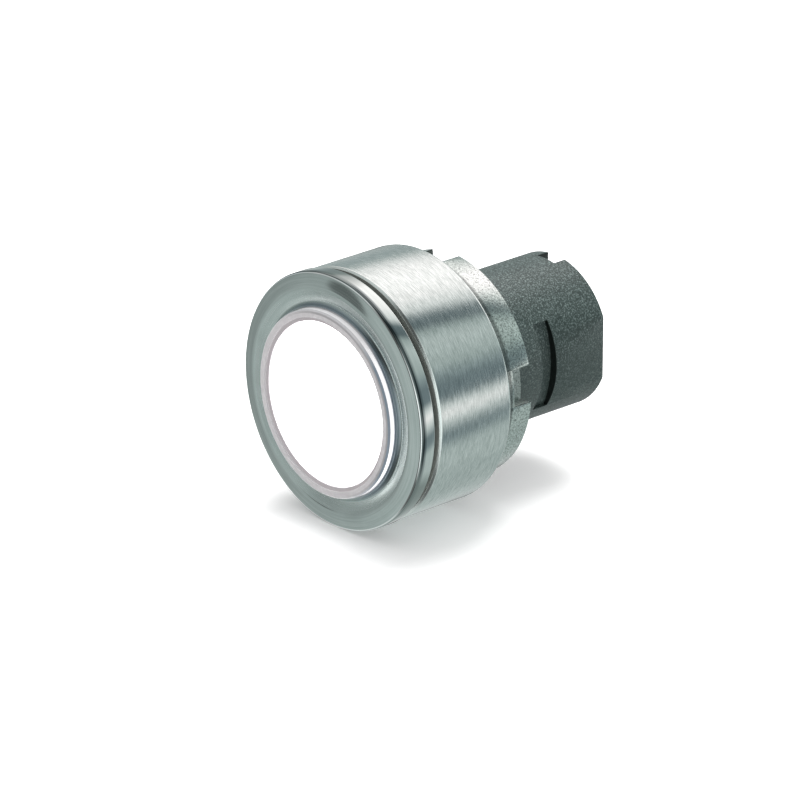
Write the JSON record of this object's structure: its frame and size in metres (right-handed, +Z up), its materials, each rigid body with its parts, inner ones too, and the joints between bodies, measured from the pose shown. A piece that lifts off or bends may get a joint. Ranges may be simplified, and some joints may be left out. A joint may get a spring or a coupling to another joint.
{
  "type": "illuminated push button head",
  "caption": "Round flush metal push-button head with a lit white lens, a brushed clamping sleeve, a slotted ring nut and a plastic bayonet spigot.",
  "frame": {"origin": "on the button's axis, in the plane of the flange's rear face, which is the panel's front face", "axes": "+Y along the axis to the rear of the panel, -Y is the side that is pressed, +Z up"},
  "size_m": [0.036, 0.0422, 0.036],
  "materials": {
    "satin_metal": "turned satin nickel on a zinc casting",
    "brushed_metal": "brushed round the axis",
    "cast_metal": "as cast, fine rough",
    "grey_plastic": "glass-filled, matt and speckled",
    "black_rubber": "matt",
    "spring_steel": "plain drawn",
    "white_plastic": "smooth moulded",
    "light_grey_plastic": "smooth moulded",
    "clear_lens": "clear and polished",
    "lit_white": "opal white, lit from behind"
  },
  "bodies": {
    "housing": {"bezel": "satin_metal", "panel_gasket": "black_rubber", "clamp_sleeve": "brushed_metal", "ring_nut": "cast_metal", "rear_body": "grey_plastic", "body_seal": "black_rubber", "body_retainer": "spring_steel", "index_pin": "spring_steel", "wiper_seal": "black_rubber", "seal_washer": "spring_steel", "guide_bush": "white_plastic", "bush_clip": "spring_steel", "return_spring": "spring_steel"},
    "button": {"lens_cap": "clear_lens", "diffuser": "lit_white", "lens_seal": "black_rubber", "lens_carrier": "light_grey_plastic", "plunger": "white_plastic", "plunger_clip": "spring_steel", "spring_seat": "spring_steel"}
  },
  "joints": [
    {"name": "button_press", "type": "slide", "parent": "housing", "child": "button", "axis": [0, 1, 0], "range_m": [0, 0.004], "stiffness_N_per_m": 600, "springref_m": -0.004, "deforming": ["return_spring"]}
  ]
}
